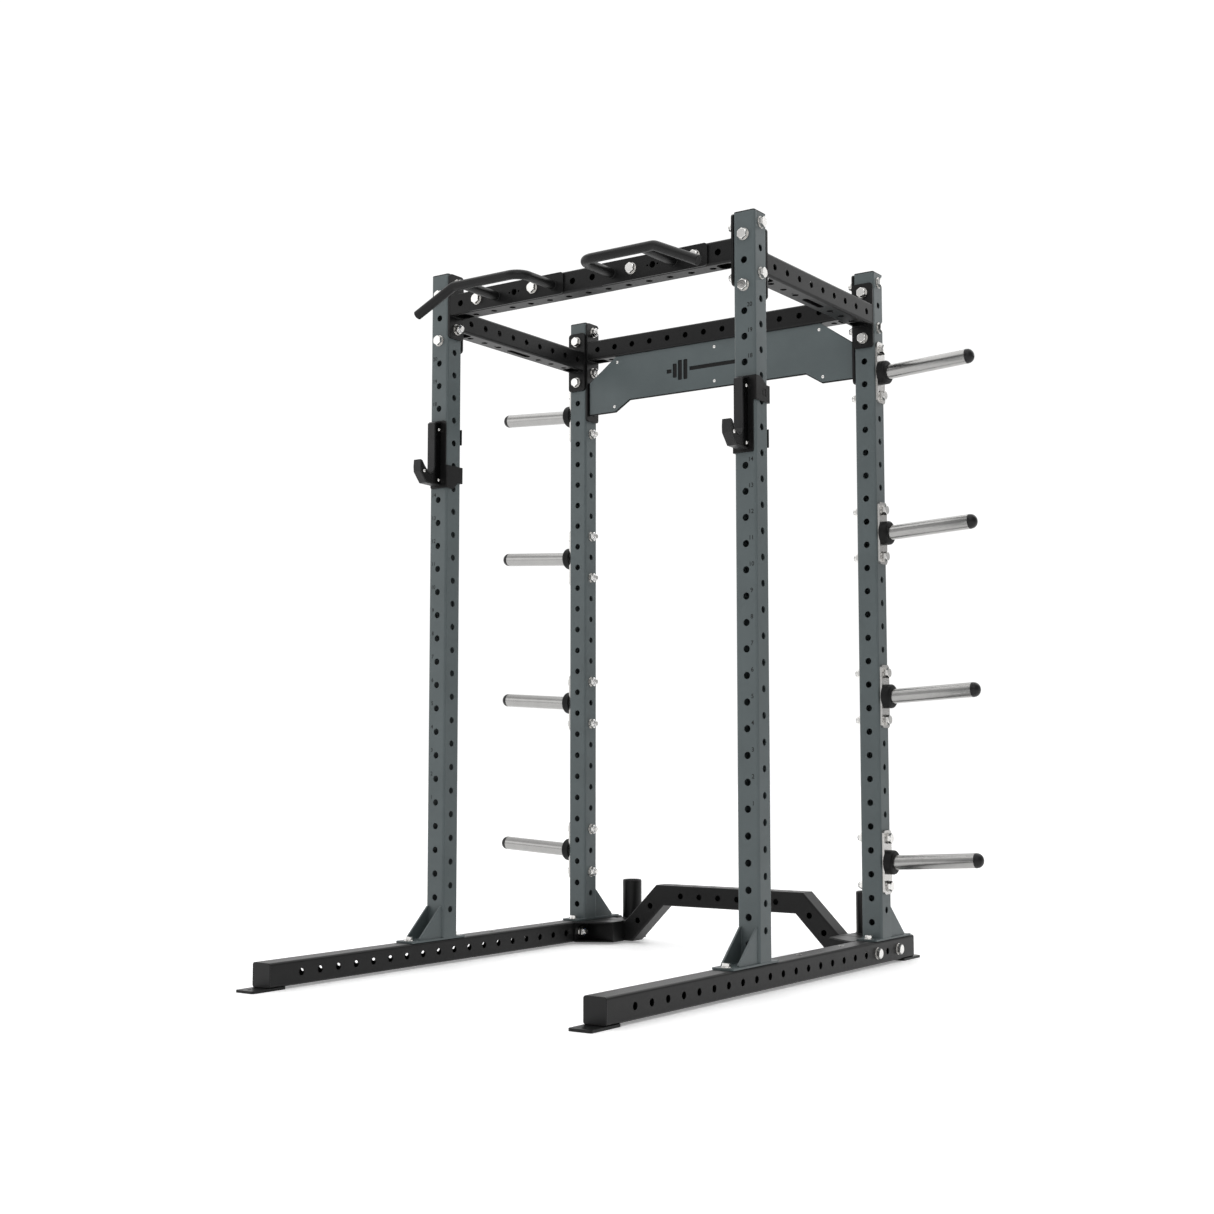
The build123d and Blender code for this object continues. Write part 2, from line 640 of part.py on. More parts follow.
for side, sign in SIDES.items():
    make_crossmember_foot(f"crossmember_foot_{side}", sign)


def make_post(label, sign):
    """An open upright tube that takes one end of a barbell."""
    with BuildPart() as post:
        with BuildSketch(Plane((sign * POST_X, POST_Y, RAIL_TOP))):
            Circle(POST_R)
            Circle(POST_BORE_R, mode=Mode.SUBTRACT)
        extrude(amount=POST_TOP - RAIL_TOP)
    save(post, label)


for side, sign in SIDES.items():
    make_post(f"bar_post_{side}", sign)

with BuildPart() as post_liners:
    for sign in SIDES.values():
        with BuildSketch(Plane((sign * POST_X, POST_Y, POST_TOP))):
            Circle(POST_R - POST_LINER_SETBACK)
            Circle(POST_LINER_R, mode=Mode.SUBTRACT)
        extrude(amount=POST_LINER_TOP - POST_TOP)
        with BuildSketch(Plane((sign * POST_X, POST_Y, POST_TOP))):
            Circle(POST_BORE_R - FIT)
            Circle(POST_LINER_R, mode=Mode.SUBTRACT)
        extrude(amount=-POST_LINER_DEPTH)
    chamfer(post_liners.edges().group_by(Axis.Z)[-1], POST_LINER_EDGE)
save(post_liners, "post_liners")

# ---------------------------------------------------------------- plate storage pegs
PEG_N = (2.5, 9.5, 16.5, 23.5)
PEG_TILT = 3.3
PEG_PLATE_WIDTH = 58.0
PEG_PLATE_HALF_HEIGHT = 107.0
PEG_PLATE_CHAMFER = 8.0
PEG_PLATE_FACE_X = OUTER_FACE_X + PLATE
PEG_DROP = 2.0
PEG_ROOT = 4.0  # start behind the plate's face, cut square there
PEG_ROOT_CUT = 10.0
PEG_PLAY = 0.3
PEG_R = 25.0
PEG_STUB_R = 24.0  # inside the collar
PEG_SHOULDER = 31.0
PEG_LENGTH = 315.0
PEG_COLLAR_R = 41.0
PEG_COLLAR_LENGTH = 29.0
PEG_COLLAR_ROUND = 8.0
PEG_CAP_R = 25.0
PEG_CAP_ROUND = 22.5
PEG_CAP_LENGTH = 26.0


def peg_axis(sign, n):
    """Plane at a peg's root, with its normal along the peg."""
    root = (sign * PEG_PLATE_FACE_X, REAR_Y, height(n) - PEG_DROP)
    lean = Vector(sign, 0, 0).rotate(Axis.Y, -sign * PEG_TILT)
    return Plane(root, x_dir=(0, 1, 0), z_dir=lean)


with BuildPart() as peg_plates:
    for sign in SIDES.values():
        for n in PEG_N:
            with BuildSketch(Plane.YZ.offset(sign * (OUTER_FACE_X + PLATE / 2))) as peg_plate:
                with Locations((REAR_Y, height(n))):
                    Rectangle(PEG_PLATE_WIDTH, 2 * PEG_PLATE_HALF_HEIGHT)
                chamfer(peg_plate.vertices(), PEG_PLATE_CHAMFER)
                with Locations((REAR_Y, height(n - 1)), (REAR_Y, height(n + 1))):
                    Circle(HOLE_R, mode=Mode.SUBTRACT)
            extrude(amount=PLATE / 2, both=True)
save(peg_plates, "peg_plates")


def make_pegs(label, sign):
    """The four steel sleeves of one side, each turned down inside its collar and cut square at its plate."""
    with BuildPart() as pegs:
        for n in PEG_N:
            with BuildSketch(peg_axis(sign, n).offset(-PEG_ROOT)):
                Circle(PEG_STUB_R)
            extrude(amount=PEG_LENGTH + PEG_ROOT)
            with BuildSketch(peg_axis(sign, n).offset(PEG_SHOULDER)):
                Circle(PEG_R)
            extrude(amount=PEG_LENGTH - PEG_SHOULDER)
        with BuildSketch(Plane.YZ.offset(sign * PEG_PLATE_FACE_X)):
            with Locations((REAR_Y, (UPRIGHT_BOTTOM + UPRIGHT_TOP) / 2)):
                Rectangle(2 * TUBE, UPRIGHT_TOP - UPRIGHT_BOTTOM)
        extrude(amount=-sign * PEG_ROOT_CUT, mode=Mode.SUBTRACT)
    save(pegs, label)


for side, sign in SIDES.items():
    make_pegs(f"pegs_{side}", sign)

with BuildPart() as peg_collars:
    for sign in SIDES.values():
        for n in PEG_N:
            collar_root = (sign * PEG_PLATE_FACE_X, REAR_Y, height(n))
            with BuildSketch(Plane(collar_root, x_dir=(0, 1, 0), z_dir=(sign, 0, 0))):
                Circle(PEG_COLLAR_R)
            extrude(amount=PEG_COLLAR_LENGTH)
    rim_edges = peg_collars.edges().filter_by(GeomType.CIRCLE)
    outer_edges = [edge for edge in rim_edges if abs(edge.center().X) > PEG_PLATE_FACE_X + THROUGH]
    fillet(outer_edges, PEG_COLLAR_ROUND)
    for sign in SIDES.values():
        for n in PEG_N:
            with BuildSketch(peg_axis(sign, n).offset(-PEG_ROOT_CUT)):
                Circle(PEG_STUB_R + PEG_PLAY)
            extrude(amount=PEG_COLLAR_LENGTH + 2 * PEG_ROOT_CUT, mode=Mode.SUBTRACT)
save(peg_collars, "peg_collars")

with BuildPart() as peg_caps:
    for sign in SIDES.values():
        for n in PEG_N:
            with BuildSketch(peg_axis(sign, n).offset(PEG_LENGTH)):
                Circle(PEG_CAP_R)
            extrude(amount=PEG_CAP_LENGTH)
    rim_edges = peg_caps.edges().filter_by(GeomType.CIRCLE)
    cap_middle = PEG_PLATE_FACE_X + PEG_LENGTH + PEG_CAP_LENGTH / 2
    fillet([edge for edge in rim_edges if abs(edge.center().X) > cap_middle], PEG_CAP_ROUND)
save(peg_caps, "peg_caps")

# ---------------------------------------------------------------- bar holders
# Offsets are from the pin: along X outwards, and in height. Y is from the upright's centre.
CUP_N = 20
CUP_PIN_Z = height(CUP_N)
CUP_SHEET = 4.0
CUP_FACE = -43.0  # front face of the back plate
CUP_TOP = 115.5
CUP_BOTTOM = -120.5
CUP_INNER = -36.5
CUP_OUTER = 31.2
CUP_FLAP = 38.0  # inside face of the side flaps, clear of the tube
CUP_FLAP_OUT = CUP_FLAP + CUP_SHEET
UPPER_FLAP_BOTTOM = 39.0
UPPER_TAB_TOP = 93.0
LOWER_FLAP_TOP = -41.5
LOWER_TAB_BOTTOM = -98.0
STRAP_FRONT = 38.6
STRAP_REAR = 42.6
STRAP_TIP = 38.0
CUP_PIN_R = 10.95
CUP_PIN_REACH = 44.0
CUP_PAD = 1.2
HOOK_HALF = 15.0
HOOK_POCKET = 4.0
HOOK_PLATE = 2.6
HOOK_GROOVE = 1.0
HOOK_RIM = 5.0
HOOK_SCREWS = ((-50.5, 82.5), (-51.0, -94.0), (-126.5, -71.0))
HOOK_TAIL = 20.0  # the outline runs this far behind the plate before it is cut off there
SCREW_HEAD_R = 6.0
SCREW_HEAD = 3.5
SCREW_HEAD_EDGE = 1.6
CUP_CORNER = 4.0
CUP_FOLD_R = 3.5
CUP_SHOULDER = 10.0
CUP_SHOULDER_STEP = 3.0
CUP_PIN_EDGE = 2.0
PAD_SHIFT = (-3.0, -2.0)
PAD_SIZE = (62.0, 224.0)
PAD_CORNER = 6.0
RECESS_AT = (8.5, 67.5)  # a plain ring-shaped recess in the upper flap
RECESS_OUTSIDE = (20.0, 24.0, 5.0)  # width, height, corner
RECESS_INSIDE = (13.0, 17.0, 3.0)
RECESS_DEPTH = 1.5
HOOK_OUTLINE = (
    (CUP_FACE, 112.0),
    (-64.0, 109.0),
    (-78.0, 103.0),
    (-78.0, -52.0),
    (-83.0, -66.0),
    (-96.0, -73.0),
    (-113.0, -66.0),
    (-128.0, -50.0),
    (-138.5, -36.0),
    (-148.0, -34.0),
    (-150.5, -58.0),
    (-149.0, -76.0),
    (-119.0, -111.0),
    (CUP_FACE, -113.0),
)


def cup_frame(label, sign):
    """Back plate with a folded flap on each side, and a strap from each flap behind the upright."""
    at_x = sign * UPRIGHT_X
    with BuildPart() as frame:
        with BuildSketch(Plane.XZ.offset(-(FRONT_Y + CUP_FACE))):
            with BuildLine():
                Polyline(*[(at_x + sign * u, CUP_PIN_Z + z) for u, z in (
                    (-CUP_FLAP_OUT, CUP_BOTTOM),
                    (CUP_OUTER - CUP_CORNER, CUP_BOTTOM),
                    (CUP_OUTER, CUP_BOTTOM + CUP_CORNER),
                    (CUP_OUTER, UPPER_FLAP_BOTTOM),
                    (CUP_FLAP_OUT, UPPER_FLAP_BOTTOM),
                    (CUP_FLAP_OUT, CUP_TOP),
                    (CUP_INNER + CUP_SHOULDER, CUP_TOP),
                    (CUP_INNER + CUP_SHOULDER_STEP, CUP_TOP - CUP_SHOULDER_STEP),
                    (CUP_INNER, CUP_TOP - CUP_SHOULDER),
                    (CUP_INNER, LOWER_FLAP_TOP),
                    (-CUP_FLAP_OUT, LOWER_FLAP_TOP),
                )], close=True)
            make_face()
        extrude(amount=-CUP_SHEET)
        fold_edges = frame.edges().filter_by(Axis.Z).group_by(Axis.Y)[0]
        outermost = [edge for edge in fold_edges if abs(edge.center().X - at_x) > CUP_FLAP]
        fillet(outermost, CUP_FOLD_R)
        upper = (
            (CUP_FACE + CUP_SHEET, UPPER_FLAP_BOTTOM),
            (CUP_FACE + CUP_SHEET, CUP_TOP),
            (-10.0, CUP_TOP),
            (22.0, UPPER_TAB_TOP),
            (STRAP_REAR, UPPER_TAB_TOP),
            (STRAP_REAR, UPPER_FLAP_BOTTOM),
        )
        lower = (
            (CUP_FACE + CUP_SHEET, LOWER_FLAP_TOP),
            (STRAP_REAR, LOWER_FLAP_TOP),
            (STRAP_REAR, LOWER_TAB_BOTTOM),
            (18.0, LOWER_TAB_BOTTOM),
            (-5.0, CUP_BOTTOM),
            (CUP_FACE + CUP_SHEET, CUP_BOTTOM),
        )
        for flap, out in ((upper, 1), (lower, -1)):
            with BuildSketch(Plane.YZ.offset(at_x + sign * out * CUP_FLAP)):
                with BuildLine():
                    Polyline(*[(FRONT_Y + y, CUP_PIN_Z + z) for y, z in flap], close=True)
                make_face()
            extrude(amount=sign * out * CUP_SHEET)
        for low, high, out in (
            (UPPER_FLAP_BOTTOM, UPPER_TAB_TOP, 1),
            (LOWER_TAB_BOTTOM, LOWER_FLAP_TOP, -1),
        ):
            strap_x = at_x + sign * out * (CUP_FLAP - STRAP_TIP) / 2
            with BuildSketch(Plane.XZ.offset(-(FRONT_Y + STRAP_REAR))):
                with Locations((strap_x, CUP_PIN_Z + (low + high) / 2)):
                    Rectangle(CUP_FLAP + STRAP_TIP, high - low)
            extrude(amount=STRAP_REAR - STRAP_FRONT)
        with BuildSketch(Plane.XZ.offset(-(FRONT_Y + CUP_FACE))):
            with Locations((at_x, CUP_PIN_Z)):
                Circle(CUP_PIN_R)
        extrude(amount=-CUP_SHEET, mode=Mode.SUBTRACT)
        recess_y, recess_z = RECESS_AT
        with BuildSketch(Plane.YZ.offset(at_x + sign * CUP_FLAP_OUT)):
            with Locations((FRONT_Y + recess_y, CUP_PIN_Z + recess_z)):
                RectangleRounded(*RECESS_OUTSIDE)
                RectangleRounded(*RECESS_INSIDE, mode=Mode.SUBTRACT)
        extrude(amount=-sign * RECESS_DEPTH, mode=Mode.SUBTRACT)
    save(frame, label)


def hook_shape(rim):
    """The hook's side outline, drawn in by a rim, in Y and Z."""
    plate_y = FRONT_Y + CUP_FACE
    tail_y = plate_y + HOOK_TAIL
    with BuildSketch() as shape:
        with BuildLine():
            Polyline(
                (tail_y, CUP_PIN_Z + HOOK_OUTLINE[0][1]),
                *[(FRONT_Y + y, CUP_PIN_Z + z) for y, z in HOOK_OUTLINE],
                (tail_y, CUP_PIN_Z + HOOK_OUTLINE[-1][1]),
                close=True,
            )
        make_face()
        if rim:
            offset(amount=-rim, kind=Kind.INTERSECTION, mode=Mode.REPLACE)
        with Locations((plate_y + HOOK_TAIL, CUP_PIN_Z)):
            Rectangle(2 * HOOK_TAIL, 2 * (CUP_TOP - CUP_BOTTOM), mode=Mode.SUBTRACT)
    return shape.sketch_local


HOOK_SHAPE = hook_shape(0)
POCKET_SHAPE = hook_shape(HOOK_RIM)
SIDE_PLATE_SHAPE = hook_shape(HOOK_RIM + HOOK_GROOVE)


def cup_hook(label, sign):
    """The plastic hook, with a shallow pocket on each side for a steel plate."""
    at_x = sign * UPRIGHT_X
    with BuildPart() as hook:
        with BuildSketch(Plane.YZ.offset(at_x)):
            add(HOOK_SHAPE)
        extrude(amount=HOOK_HALF, both=True)
        for out in (-1, 1):
            with BuildSketch(Plane.YZ.offset(at_x + out * HOOK_HALF)):
                add(POCKET_SHAPE)
            extrude(amount=-out * HOOK_POCKET, mode=Mode.SUBTRACT)
    save(hook, label)


def cup_side_plates(label, sign):
    at_x = sign * UPRIGHT_X
    with BuildPart() as plates:
        for out in (-1, 1):
            with BuildSketch(Plane.YZ.offset(at_x + out * (HOOK_HALF - HOOK_POCKET))):
                add(SIDE_PLATE_SHAPE)
            extrude(amount=out * HOOK_PLATE)
    save(plates, label)


def cup_screws(label, sign):
    """Domed screws through the side plates, a head on each side."""
    at_x = sign * UPRIGHT_X
    head = HOOK_HALF - HOOK_POCKET + HOOK_PLATE
    with BuildPart() as screws:
        for out in (-1, 1):
            with BuildSketch(Plane.YZ.offset(at_x + out * head)):
                with Locations(*[(FRONT_Y + y, CUP_PIN_Z + z) for y, z in HOOK_SCREWS]):
                    Circle(SCREW_HEAD_R)
            extrude(amount=out * SCREW_HEAD)
        crowns = screws.edges().group_by(Axis.X)
        chamfer(crowns[0] + crowns[-1], SCREW_HEAD_EDGE)
    save(screws, label)


def cup_pin(label, sign):
    at_x = sign * UPRIGHT_X
    with BuildPart() as pin:
        with BuildSketch(Plane.XZ.offset(-(FRONT_Y + CUP_FACE))):
            with Locations((at_x, CUP_PIN_Z)):
                Circle(CUP_PIN_R)
        extrude(amount=-CUP_PIN_REACH)
        chamfer(pin.edges().group_by(Axis.Y)[-1], CUP_PIN_EDGE)
    save(pin, label)


def cup_pad(label, sign):
    """Plastic pad on the back of the plate that keeps the steel off the upright."""
    at_x = sign * UPRIGHT_X
    shift_x, shift_z = PAD_SHIFT
    with BuildPart() as pad:
        with BuildSketch(Plane.XZ.offset(-(FRONT_Y + CUP_FACE + CUP_SHEET))):
            with Locations((at_x + sign * shift_x, CUP_PIN_Z + shift_z)):
                RectangleRounded(*PAD_SIZE, PAD_CORNER)
            with Locations((at_x, CUP_PIN_Z)):
                Circle(CUP_PIN_R + THROUGH, mode=Mode.SUBTRACT)
        extrude(amount=-CUP_PAD)
    save(pad, label)


for side, sign in SIDES.items():
    cup_frame(f"cup_frame_{side}", sign)
    cup_hook(f"cup_hook_{side}", sign)
    cup_side_plates(f"cup_side_plates_{side}", sign)
    cup_screws(f"cup_screws_{side}", sign)
    cup_pin(f"cup_pin_{side}", sign)
    cup_pad(f"cup_pad_{side}", sign)

# ---------------------------------------------------------------- bolts
BOLT_R = 10.0
HEX_R = 17.3
HEAD = 13.0
NUT = 18.0
WASHER_R = 19.0
WASHER = 3.0
TAIL = 6.0
BASE_HEX_R = 13.8
BASE_FLANGE = 2.5
BASE_HEAD = 10.0
BASE_SHANK = 35.0
WASHER_PLAY = 0.5
BASE_NUT = 13.0


def far_side(root, outward, grip_length):
    """Plane on the far face of the clamped stack, facing away from the head."""
    direction = Vector(*outward)
    return Plane(Vector(*root) - direction * grip_length, z_dir=-direction)


def make_bolts(label, sites):
    """The bolts of one joint family, from (root, outward, grip length) sites."""
    with BuildPart() as bolts:
        for root, outward, grip_length in sites:
            start = Plane(root, z_dir=outward).offset(WASHER)
            with BuildSketch(start):
                RegularPolygon(HEX_R, 6)
            extrude(amount=HEAD)
            with BuildSketch(start):
                Circle(BOLT_R)
            extrude(amount=-(grip_length + 2 * WASHER + NUT + TAIL))
    save(bolts, label)


beam_sites = []
for sign in SIDES.values():
    for y in (FRONT_Y, REAR_Y):
        for n in (CROSS_N - 1, CROSS_N + 1):
            beam_sites.append(((sign * OUTER_FACE_X, y, height(n)), (sign, 0, 0), TUBE + PLATE))
    for n in (SIDE_N - 1, SIDE_N + 1):
        front_face = FRONT_Y - HALF
        plate_face = REAR_Y - HALF - PLATE
        beam_sites.append(((sign * UPRIGHT_X, front_face, height(n)), (0, -1, 0), TUBE + PLATE))
        beam_sites.append(((sign * UPRIGHT_X, plate_face, height(n)), (0, -1, 0), TUBE + PLATE))
make_bolts("beam_bolts", beam_sites)

grip_sites = []
peg_sites = []
foot_sites = []
for sign in SIDES.values():
    for grip_x in GRIP_BOLTS_X:
        root = (sign * grip_x, GRIP_FACE_Y, height(CROSS_N))
        grip_sites.append((root, (0, -1, 0), TUBE + GRIP_PLATE))
    for n in PEG_N:
        for peg_hole in (n - 1, n + 1):
            root = (sign * PEG_PLATE_FACE_X, REAR_Y, height(peg_hole))
            through_beam_plate = height(peg_hole) > REAR_PLATE_BOTTOM
            peg_sites.append((root, (sign, 0, 0), TUBE + PLATE + through_beam_plate * PLATE))
    for k in (-1, 1):
        root = (sign * OUTER_FACE_X, MEMBER_Y + PITCH * k, RAIL_Z)
        foot_sites.append((root, (sign, 0, 0), TUBE + PLATE))
make_bolts("grip_bolts", grip_sites)
make_bolts("peg_bolts", peg_sites)
make_bolts("foot_bolts", foot_sites)
bolt_sites = beam_sites + grip_sites + peg_sites + foot_sites

with BuildPart() as washers:
    for root, outward, grip_length in bolt_sites:
        with BuildSketch(Plane(root, z_dir=outward), far_side(root, outward, grip_length)):
            Circle(WASHER_R)
            Circle(BOLT_R + WASHER_PLAY, mode=Mode.SUBTRACT)
        extrude(amount=WASHER)
save(washers, "washers")

with BuildPart() as nuts:
    for root, outward, grip_length in bolt_sites:
        with BuildSketch(far_side(root, outward, grip_length).offset(WASHER)):
            RegularPolygon(HEX_R, 6)
            Circle(BOLT_R, mode=Mode.SUBTRACT)
        extrude(amount=NUT)
save(nuts, "nuts")

with BuildPart() as base_bolts:
    for bolt_x, bolt_y in base_bolt_points():
        with BuildSketch(Plane((bolt_x, bolt_y, UPRIGHT_BOTTOM))):
            Circle(BASE_BOLT_R * 2)
        extrude(amount=BASE_FLANGE)
        with BuildSketch(Plane((bolt_x, bolt_y, UPRIGHT_BOTTOM + BASE_FLANGE))):
            RegularPolygon(BASE_HEX_R, 6)
        extrude(amount=BASE_HEAD)
        with BuildSketch(Plane((bolt_x, bolt_y, UPRIGHT_BOTTOM + BASE_FLANGE))):
            Circle(BASE_BOLT_R)
        extrude(amount=-BASE_SHANK)
save(base_bolts, "base_bolts")

with BuildPart() as base_nuts:
    for bolt_x, bolt_y in base_bolt_points():
        with BuildSketch(Plane((bolt_x, bolt_y, RAIL_TOP - WALL))):
            RegularPolygon(BASE_HEX_R, 6)
            Circle(BASE_BOLT_R, mode=Mode.SUBTRACT)
        extrude(amount=-BASE_NUT)
save(base_nuts, "base_nuts")
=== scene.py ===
"""Looks for the power cage: materials, small pieces, floor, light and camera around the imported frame."""
import json
import math

import bpy
import bmesh
from mathutils import Matrix, Vector


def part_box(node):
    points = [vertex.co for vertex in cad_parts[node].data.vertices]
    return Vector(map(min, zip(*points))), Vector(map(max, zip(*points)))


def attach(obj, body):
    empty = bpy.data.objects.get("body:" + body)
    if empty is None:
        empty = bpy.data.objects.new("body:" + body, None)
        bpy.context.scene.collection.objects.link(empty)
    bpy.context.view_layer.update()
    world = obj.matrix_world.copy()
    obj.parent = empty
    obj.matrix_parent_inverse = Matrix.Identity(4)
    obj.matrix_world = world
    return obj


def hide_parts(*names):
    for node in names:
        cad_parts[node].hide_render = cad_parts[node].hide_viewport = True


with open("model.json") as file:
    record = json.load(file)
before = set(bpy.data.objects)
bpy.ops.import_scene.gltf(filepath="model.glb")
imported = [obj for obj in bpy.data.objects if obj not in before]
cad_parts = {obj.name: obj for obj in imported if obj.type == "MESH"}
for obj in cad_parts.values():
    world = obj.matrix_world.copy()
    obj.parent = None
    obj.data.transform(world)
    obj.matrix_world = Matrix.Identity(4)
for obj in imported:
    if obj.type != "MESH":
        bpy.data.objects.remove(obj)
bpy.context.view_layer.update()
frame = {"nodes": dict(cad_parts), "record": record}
nodes = frame["nodes"]

# ---------------------------------------------------------------- materials
MM = 0.001
NOISE_RANGE = (0.3, 0.7)  # where nearly all of a noise's values lie


def new_material(name, color, roughness, metallic=0.0, gloss=0.5):
    material = bpy.data.materials.new(name)
    material.use_nodes = True
    shader = material.node_tree.nodes["Principled BSDF"]
    shader.inputs["Base Color"].default_value = (*color, 1)
    shader.inputs["Roughness"].default_value = roughness
    shader.inputs["Metallic"].default_value = metallic
    shader.inputs["Specular IOR Level"].default_value = gloss
    return material, material.node_tree, shader


def noise(tree, scale, detail=3.0, stretch=None):
    """Noise in the object's own space, stretched along an axis if asked."""
    texture = tree.nodes.new("ShaderNodeTexNoise")
    texture.inputs["Scale"].default_value = scale
    texture.inputs["Detail"].default_value = detail
    coords = tree.nodes.new("ShaderNodeTexCoord")
    mapping = tree.nodes.new("ShaderNodeMapping")
    mapping.inputs["Scale"].default_value = stretch or (1, 1, 1)
    tree.links.new(coords.outputs["Object"], mapping.inputs["Vector"])
    tree.links.new(mapping.outputs["Vector"], texture.inputs["Vector"])
    return texture.outputs["Fac"]


def tint(tree, shader, value, low_color, high_color):
    """Base colour between two colours, by a noise value."""
    node = tree.nodes.new("ShaderNodeValToRGB")
    for element, position, color in zip(node.color_ramp.elements, NOISE_RANGE, (low_color, high_color)):
        element.position = position
        element.color = (*color, 1)
    tree.links.new(value, node.inputs["Fac"])
    tree.links.new(node.outputs["Color"], shader.inputs["Base Color"])


def map_range(tree, value, source, target):
    """Maps one range of a value onto another range."""
    node = tree.nodes.new("ShaderNodeMapRange")
    node.inputs["From Min"].default_value, node.inputs["From Max"].default_value = source
    node.inputs["To Min"].default_value, node.inputs["To Max"].default_value = target
    tree.links.new(value, node.inputs["Value"])
    return node.outputs["Result"]


def wear(tree, shader, value, low, high):
    """Roughness between two values, by a noise value."""
    tree.links.new(map_range(tree, value, NOISE_RANGE, (low, high)), shader.inputs["Roughness"])


def grain(tree, shader, value, depth, edge=0.0):
    """A bump from a noise value; with an edge radius, sharp edges look softened."""
    bump = tree.nodes.new("ShaderNodeBump")
    bump.inputs["Distance"].default_value = depth
    bump.inputs["Strength"].default_value = 1.0
    tree.links.new(value, bump.inputs["Height"])
    if edge:
        bevel = tree.nodes.new("ShaderNodeBevel")
        bevel.samples = 4
        bevel.inputs["Radius"].default_value = edge
        tree.links.new(bevel.outputs["Normal"], bump.inputs["Normal"])
    tree.links.new(bump.outputs["Normal"], shader.inputs["Normal"])


def shade(color, factor):
    return tuple(channel * factor for channel in color)


def powder_coat(name, color, roughness, depth, gloss):
    """Paint baked on as powder: a fine orange-peel texture and a faint unevenness."""
    material, tree, shader = new_material(name, color, roughness, gloss=gloss)
    speck = noise(tree, 900, 2)
    tint(tree, shader, noise(tree, 9, 4), shade(color, 0.93), shade(color, 1.07))
    wear(tree, shader, speck, roughness - 0.06, roughness + 0.06)
    grain(tree, shader, speck, depth, 0.8 * MM)
    return material


def plastic(name, color, roughness, gloss=0.3):
    """Moulded plastic or rubber: a fine even grain over soft edges."""
    material, tree, shader = new_material(name, color, roughness, gloss=gloss)
    speck = noise(tree, 1400, 2)
    tint(tree, shader, noise(tree, 22), shade(color, 0.9), shade(color, 1.1))
    wear(tree, shader, speck, roughness - 0.05, roughness + 0.07)
    grain(tree, shader, speck, 0.05 * MM, 1.5 * MM)
    return material


def steel(name, color, roughness, stretch, depth):
    """Bare or plated steel with fine marks drawn out along one axis."""
    material, tree, shader = new_material(name, color, roughness, metallic=1.0)
    marks = noise(tree, 420, 4, stretch)
    tint(tree, shader, noise(tree, 30), shade(color, 0.96), shade(color, 1.03))
    wear(tree, shader, marks, roughness - 0.04, roughness + 0.05)
    if depth:
        grain(tree, shader, marks, depth)
    return material


slate = powder_coat("slate_paint", (0.080, 0.098, 0.101), 0.40, 0.05 * MM, 0.40)
black = powder_coat("black_paint", (0.0052, 0.0052, 0.0053), 0.38, 0.05 * MM, 0.24)
black_plastic = plastic("black_plastic", (0.0050, 0.0050, 0.0055), 0.38)
rubber = plastic("rubber", (0.0035, 0.0035, 0.0035), 0.5, 0.2)
zinc = steel("zinc", (0.56, 0.55, 0.535), 0.24, (1, 1, 1), 0.002 * MM)
bright_zinc = steel("bright_zinc", (0.78, 0.77, 0.75), 0.20, (1, 1, 1), 0)
sleeve_steel = steel("bright_steel", (0.365, 0.361, 0.354), 0.22, (0.02, 1, 1), 0)
nylon = plastic("nylon", (0.10, 0.16, 0.30), 0.4)
ink = plastic("ink", (0.004, 0.0045, 0.0045), 0.5)
FINISH = {
    "slate_paint": slate,
    "black_paint": black,
    "black_plastic": black_plastic,
    "rubber": rubber,
    "zinc": zinc,
    "bright_steel": sleeve_steel,
}
for entry in frame["record"]["subparts"]:
    mesh = nodes[entry["node"]].data
    mesh.materials.clear()
    mesh.materials.append(FINISH[entry["material_slot"]])

# The bar holders' hooks get a paler plastic than the caps, a painted highlight in place of their lit rims,
# and their side plates a paint darker than the black paint, painted shade in place of the shade in the hooks'
# recesses.
# Painted highlight: a lighter copy of the black plastic.
hook_painted_highlight = plastic("hook_painted_highlight", (0.014, 0.014, 0.0145), 0.42)
# Painted shade: a darker copy of the black paint.
side_plates_painted_shade = powder_coat("painted_shade_on_side_plates", (0.0016, 0.0016, 0.0017), 0.24, 0.02 * MM, 0.24)
for side in ("left", "right"):
    nodes[f"cup_hook_{side}"].data.materials[0] = hook_painted_highlight
    nodes[f"cup_side_plates_{side}"].data.materials[0] = side_plates_painted_shade

# ---------------------------------------------------------------- shapes built in mesh code
ROUND = 48  # points round a turned shape
CHAMFER = 0.475  # radius where a hexagon's chamfer starts, as a part of its width across flats


def link(name, mesh, material, body):
    """Makes a piece of a mesh and lets it ride a body."""
    mesh.materials.append(material)
    piece = bpy.data.objects.new(name, mesh)
    bpy.context.scene.collection.objects.link(piece)
    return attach(piece, body)


def along(place, direction):
    """Matrix that puts a shape's own +Z along a direction, at a place."""
    turn = Vector(direction).to_track_quat("Z", "Y").to_matrix().to_4x4()
    return Matrix.Translation(place) @ turn


def turned(shape, stations, matrix, closed=False):
    """Adds a shape turned about Z to a mesh being built.

    Each station is a function that gives a radius and a height at an angle.
    A closed shape joins its last ring to its first; an open one gets a flat end at both.
    """
    rings = []
    for station in stations:
        ring = []
        for step in range(ROUND):
            angle = math.tau * step / ROUND
            radius, level = station(angle)
            point = Vector((radius * math.cos(angle), radius * math.sin(angle), level))
            ring.append(shape.verts.new(matrix @ point))
        rings.append(ring)
    pairs = list(zip(rings, rings[1:]))
    if closed:
        pairs.append((rings[-1], rings[0]))
    for low, high in pairs:
        for step in range(ROUND):
            after = (step + 1) % ROUND
            shape.faces.new((low[step], low[after], high[after], high[step]))
    if not closed:
        shape.faces.new(list(reversed(rings[0])))
        shape.faces.new(rings[-1])


def circle(radius, level):
    """A round station."""
    return lambda angle: (radius, level)


